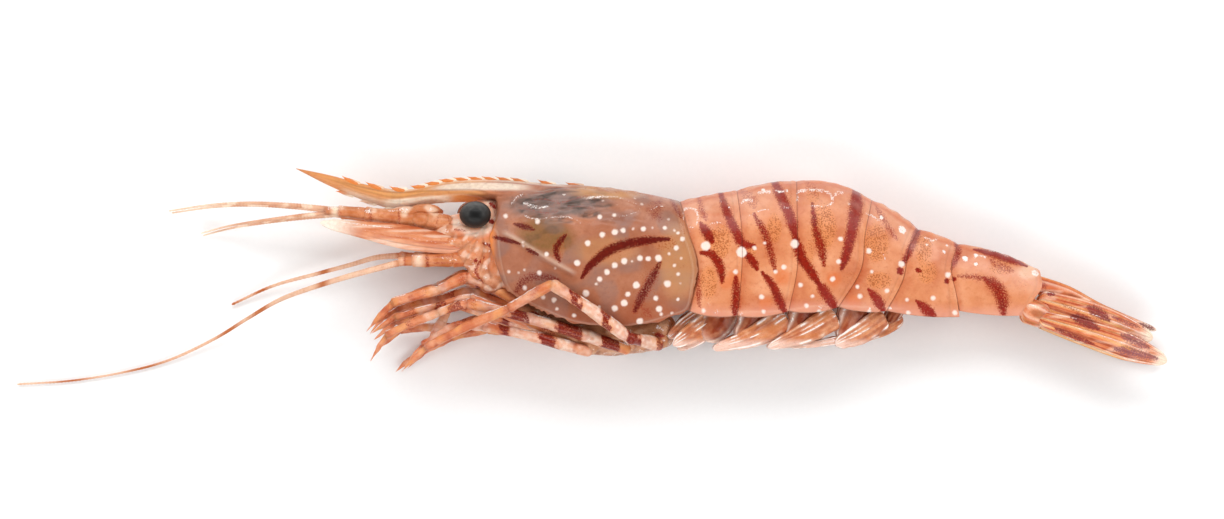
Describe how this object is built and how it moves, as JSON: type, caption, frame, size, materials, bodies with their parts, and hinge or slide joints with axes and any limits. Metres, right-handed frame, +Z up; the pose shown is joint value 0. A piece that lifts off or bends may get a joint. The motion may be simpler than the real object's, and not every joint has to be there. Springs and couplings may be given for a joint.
{
  "type": "raw whole shrimp",
  "caption": "Raw whole striped shrimp lying on its side, with toothed rostrum, long feelers, folded legs and swimmerets, a ringed tail and a closed tail fan.",
  "frame": {"origin": "under the middle of the whole outline, at the level of the table", "axes": "+X from head to tail, +Y from belly to back, +Z up from the table towards the shrimp's left side"},
  "size_m": [0.1944, 0.0366, 0.0195],
  "materials": {
    "carapace_shell": "wet translucent shell, dark red stripes and white dots",
    "tail_shell": "wet translucent shell, dark red stripes and white dots",
    "fan_shell": "wet ribbed shell",
    "eye_black": "wet black",
    "feeler_skin": "thin translucent shell",
    "scale_skin": "thin translucent shell, pale tip",
    "swimmeret_skin": "wet thin shell",
    "limb_skin": "wet shell, banded dark red and cream",
    "flesh_skin": "wet soft skin"
  },
  "bodies": {
    "root": {"carapace": "carapace_shell", "head": "flesh_skin", "chest": "flesh_skin", "tail_ring_1": "tail_shell", "tail_ring_2": "tail_shell", "tail_ring_3": "tail_shell", "tail_ring_4": "tail_shell", "tail_ring_5": "tail_shell", "tail_ring_6": "tail_shell", "telson": "fan_shell", "eye_left": "eye_black", "antennule_left": "feeler_skin", "antenna_left": "feeler_skin", "antennal_scale_left": "scale_skin", "swimmeret_1_left": "swimmeret_skin", "swimmeret_2_left": "swimmeret_skin", "swimmeret_3_left": "swimmeret_skin", "swimmeret_4_left": "swimmeret_skin", "swimmeret_5_left": "swimmeret_skin", "fan_base_left": "fan_shell", "fan_outer_left": "fan_shell", "fan_inner_left": "fan_shell", "eye_right": "eye_black", "antennule_right": "feeler_skin", "antenna_right": "feeler_skin", "antennal_scale_right": "scale_skin", "swimmeret_1_right": "swimmeret_skin", "swimmeret_2_right": "swimmeret_skin", "swimmeret_3_right": "swimmeret_skin", "swimmeret_4_right": "swimmeret_skin", "swimmeret_5_right": "swimmeret_skin", "fan_base_right": "fan_shell", "fan_outer_right": "fan_shell", "fan_inner_right": "fan_shell", "maxilliped_left": "limb_skin", "leg_1_left": "limb_skin", "leg_2_left": "limb_skin", "leg_3_left": "limb_skin", "leg_4_left": "limb_skin", "leg_5_left": "limb_skin", "maxilliped_right": "limb_skin", "leg_1_right": "limb_skin", "leg_2_right": "limb_skin", "leg_3_right": "limb_skin", "leg_4_right": "limb_skin", "leg_5_right": "limb_skin"}
  },
  "joints": []
}
